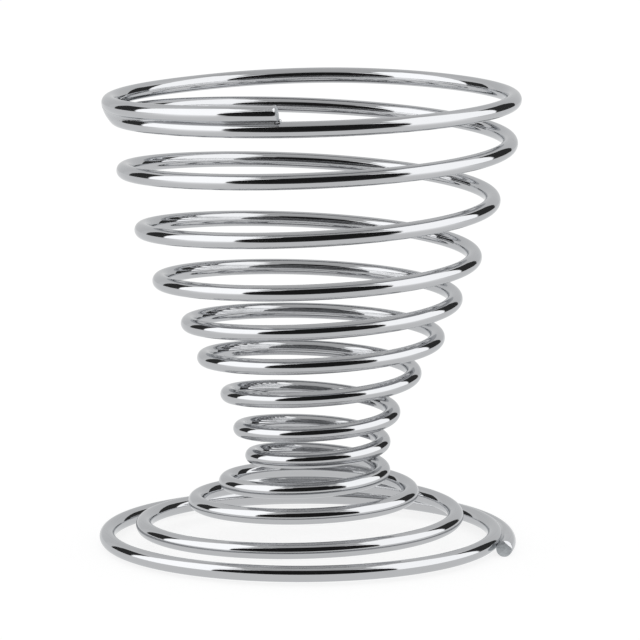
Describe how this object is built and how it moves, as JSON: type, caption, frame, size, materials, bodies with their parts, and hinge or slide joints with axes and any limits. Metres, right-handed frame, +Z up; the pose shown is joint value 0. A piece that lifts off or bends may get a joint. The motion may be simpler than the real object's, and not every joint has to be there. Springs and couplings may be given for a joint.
{
  "type": "spiral egg holder",
  "caption": "Spiral egg holder: one chromed round wire wound as a double cone, with a wide flat foot, a narrow waist and a springy cup that widens to a doubled rim.",
  "frame": {"origin": "bottom centre of the bounding box, on the table, near the spiral's axis", "axes": "+Z up along the spiral's axis from the foot to the rim; +X to the right of the picture's camera, which looks along +Y"},
  "size_m": [0.0536, 0.0531, 0.0586],
  "materials": {
    "chromed_wire": "bright chrome plate on steel wire",
    "weld_bead": "plated weld metal, slightly duller and rougher than the wire"
  },
  "bodies": {
    "foot": {"foot_ring": "chromed_wire", "foot_weld": "weld_bead"},
    "flare": {"flare_turn": "chromed_wire"},
    "waist": {"waist_coil": "chromed_wire"},
    "cup_1": {"cup_turn_1": "chromed_wire"},
    "cup_2": {"cup_turn_2": "chromed_wire"},
    "cup_3": {"cup_turn_3": "chromed_wire"},
    "cup_4": {"cup_turn_4": "chromed_wire"},
    "cup_5": {"cup_turn_5": "chromed_wire"},
    "rim": {"rim_ring": "chromed_wire", "rim_weld": "weld_bead"}
  },
  "joints": [
    {"name": "flare_press", "type": "slide", "parent": "foot", "child": "flare", "axis": [0, 0, 1], "range_m": [-0.00122, 0.00035], "stiffness_N_per_m": 1000},
    {"name": "waist_press", "type": "slide", "parent": "flare", "child": "waist", "axis": [0, 0, 1], "range_m": [-0.00063, 0.00018], "stiffness_N_per_m": 1944},
    {"name": "cup_1_press", "type": "slide", "parent": "waist", "child": "cup_1", "axis": [0, 0, 1], "range_m": [-0.000385, 0.00011], "stiffness_N_per_m": 3182},
    {"name": "cup_2_press", "type": "slide", "parent": "cup_1", "child": "cup_2", "axis": [0, 0, 1], "range_m": [-0.00081, 0.00023], "stiffness_N_per_m": 1522},
    {"name": "cup_3_press", "type": "slide", "parent": "cup_2", "child": "cup_3", "axis": [0, 0, 1], "range_m": [-0.00112, 0.00032], "stiffness_N_per_m": 1094},
    {"name": "cup_4_press", "type": "slide", "parent": "cup_3", "child": "cup_4", "axis": [0, 0, 1], "range_m": [-0.00189, 0.00054], "stiffness_N_per_m": 648},
    {"name": "cup_5_press", "type": "slide", "parent": "cup_4", "child": "cup_5", "axis": [0, 0, 1], "range_m": [-0.00266, 0.00076], "stiffness_N_per_m": 461},
    {"name": "rim_press", "type": "slide", "parent": "cup_5", "child": "rim", "axis": [0, 0, 1], "range_m": [-0.0035, 0.001], "stiffness_N_per_m": 4014}
  ],
  "couplings": [
    {"joint": "flare_press", "follows": "rim_press", "ratio": 0.35},
    {"joint": "waist_press", "follows": "rim_press", "ratio": 0.18},
    {"joint": "cup_1_press", "follows": "rim_press", "ratio": 0.11},
    {"joint": "cup_2_press", "follows": "rim_press", "ratio": 0.23},
    {"joint": "cup_3_press", "follows": "rim_press", "ratio": 0.32},
    {"joint": "cup_4_press", "follows": "rim_press", "ratio": 0.54},
    {"joint": "cup_5_press", "follows": "rim_press", "ratio": 0.76}
  ]
}
